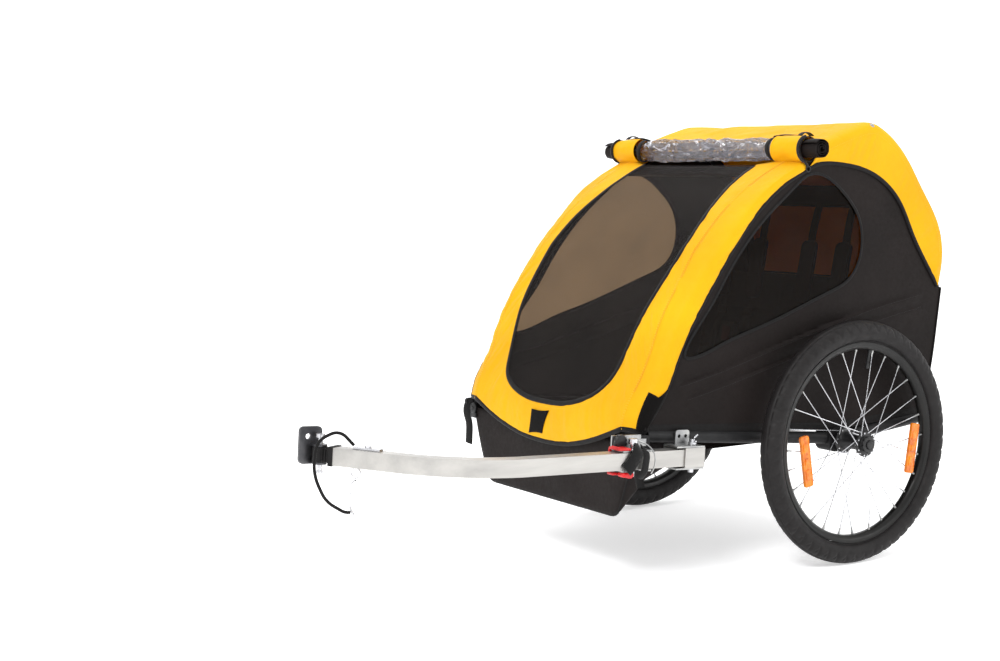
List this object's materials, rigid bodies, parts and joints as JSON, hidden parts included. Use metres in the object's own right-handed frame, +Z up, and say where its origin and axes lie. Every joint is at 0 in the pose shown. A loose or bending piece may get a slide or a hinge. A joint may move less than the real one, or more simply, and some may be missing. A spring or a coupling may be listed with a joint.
{
  "type": "child bicycle trailer",
  "caption": "Enclosed child bicycle trailer with fabric body over side hoops, spoked wheels, harness seat, lifting front screen and an offset square tow bar with a swivel hitch.",
  "frame": {"origin": "on the ground, at the bottom centre of the bounding box, midway between the two wheels", "axes": "+Z up, -X to the front along the tow bar, +X to the rear, the tow bar on the -Y side"},
  "size_m": [1.4539, 0.794, 0.9053],
  "materials": {
    "frame_black": "dark grey powder coat",
    "steel_bright": "bright plated steel",
    "zinc_steel": "zinc plated sheet steel",
    "hitch_steel": "black coated steel",
    "cloth_black": "black coated polyester weave",
    "cloth_yellow": "yellow coated polyester weave",
    "window_tint": "tinted clear vinyl",
    "mesh_black": "black see-through mesh",
    "vinyl_clear": "clear crinkled vinyl",
    "webbing_black": "black woven webbing",
    "buckle_plastic": "black moulded plastic",
    "button_plastic": "red moulded plastic",
    "tyre_rubber": "black tyre rubber",
    "rim_black": "black anodised aluminium",
    "hub_black": "black anodised aluminium",
    "amber": "amber prismatic reflector",
    "cap_plastic": "black plastic",
    "bar_aluminium": "satin aluminium",
    "rubber_black": "black moulded rubber",
    "latch_red": "red moulded plastic"
  },
  "bodies": {
    "chassis": {"side_rail_left": "frame_black", "side_rail_right": "frame_black", "axle_receivers": "frame_black", "crossbars": "frame_black", "hoop_left": "frame_black", "hoop_right": "frame_black", "top_tubes": "frame_black", "hoop_brackets": "frame_black", "front_corner_blocks": "frame_black", "wheel_axles": "steel_bright", "footwell": "cloth_black", "floor_panels": "cloth_black", "side_panel_left": "cloth_black", "side_panel_right": "cloth_black", "side_window_left": "window_tint", "side_window_right": "window_tint", "rear_cover": "cloth_yellow", "cargo_panel": "cloth_black", "rolled_shield": "vinyl_clear", "roll_sleeves": "cloth_yellow", "roll_ends": "cloth_black", "roll_straps": "webbing_black", "seat_base": "cloth_black", "seat_back": "cloth_black", "harness_straps": "webbing_black", "shoulder_pads": "webbing_black", "harness_buckles": "buckle_plastic", "rear_bracket": "zinc_steel", "pivot_pin": "steel_bright", "front_bracket": "zinc_steel", "latch_clip": "latch_red"},
    "front_flap": {"front_cover": "cloth_yellow", "front_screen": "mesh_black"},
    "harness_button_left": {"buckle_button_left": "button_plastic"},
    "harness_button_right": {"buckle_button_right": "button_plastic"},
    "wheel_left": {"tyre_left": "tyre_rubber", "rim_left": "rim_black", "spokes_left": "steel_bright", "hub_left": "hub_black", "hub_bearings_left": "steel_bright", "reflectors_left": "amber", "hub_cap_left": "cap_plastic"},
    "wheel_right": {"tyre_right": "tyre_rubber", "rim_right": "rim_black", "spokes_right": "steel_bright", "hub_right": "hub_black", "hub_bearings_right": "steel_bright", "reflectors_right": "amber", "hub_cap_right": "cap_plastic"},
    "axle_button_left": {"release_button_left": "cap_plastic"},
    "axle_button_right": {"release_button_right": "cap_plastic"},
    "tow_arm": {"tow_swivel": "bar_aluminium", "tow_bar": "bar_aluminium", "flex_joint": "rubber_black", "strap_anchor": "steel_bright", "snap_hook": "steel_bright", "safety_strap": "webbing_black", "hitch_pin": "steel_bright"},
    "lock_pin": {"lock_pin": "steel_bright"},
    "hitch": {"hitch_plate": "hitch_steel"}
  },
  "joints": [
    {"name": "wheel_spin_left", "type": "hinge", "parent": "chassis", "child": "wheel_left", "pos_m": [0.4159, -0.352, 0.25], "axis": [0, 1, 0], "continuous": true},
    {"name": "wheel_spin_right", "type": "hinge", "parent": "chassis", "child": "wheel_right", "pos_m": [0.4159, 0.352, 0.25], "axis": [0, 1, 0], "continuous": true},
    {"name": "axle_release_left", "type": "slide", "parent": "chassis", "child": "axle_button_left", "axis": [0, 1, 0], "range_m": [0, 0.0035], "stiffness_N_per_m": 800},
    {"name": "axle_release_right", "type": "slide", "parent": "chassis", "child": "axle_button_right", "axis": [0, -1, 0], "range_m": [0, 0.0035], "stiffness_N_per_m": 800},
    {"name": "flap_lift", "type": "hinge", "parent": "chassis", "child": "front_flap", "pos_m": [0.3129, 0, 0.845], "axis": [0, 1, 0], "range_deg": [0, 100]},
    {"name": "buckle_release_left", "type": "slide", "parent": "chassis", "child": "harness_button_left", "axis": [0.9796, 0, -0.2011], "range_m": [0, 0.003], "stiffness_N_per_m": 600},
    {"name": "buckle_release_right", "type": "slide", "parent": "chassis", "child": "harness_button_right", "axis": [0.9796, 0, -0.2011], "range_m": [0, 0.003], "stiffness_N_per_m": 600},
    {"name": "tow_swing", "type": "hinge", "parent": "chassis", "child": "tow_arm", "pos_m": [0.00464, -0.32807, 0.25668], "axis": [0.0599, 0, 0.9982], "range_deg": [0, 95]},
    {"name": "lock_pin_lift", "type": "slide", "parent": "tow_arm", "child": "lock_pin", "axis": [0.0599, 0, 0.9982], "range_m": [0, 0.016], "stiffness_N_per_m": 300},
    {"name": "hitch_yaw", "type": "hinge", "parent": "tow_arm", "child": "hitch", "pos_m": [-0.69321, -0.13388, 0.29855], "axis": [0.0599, 0, 0.9982], "range_deg": [-50, 50]}
  ]
}
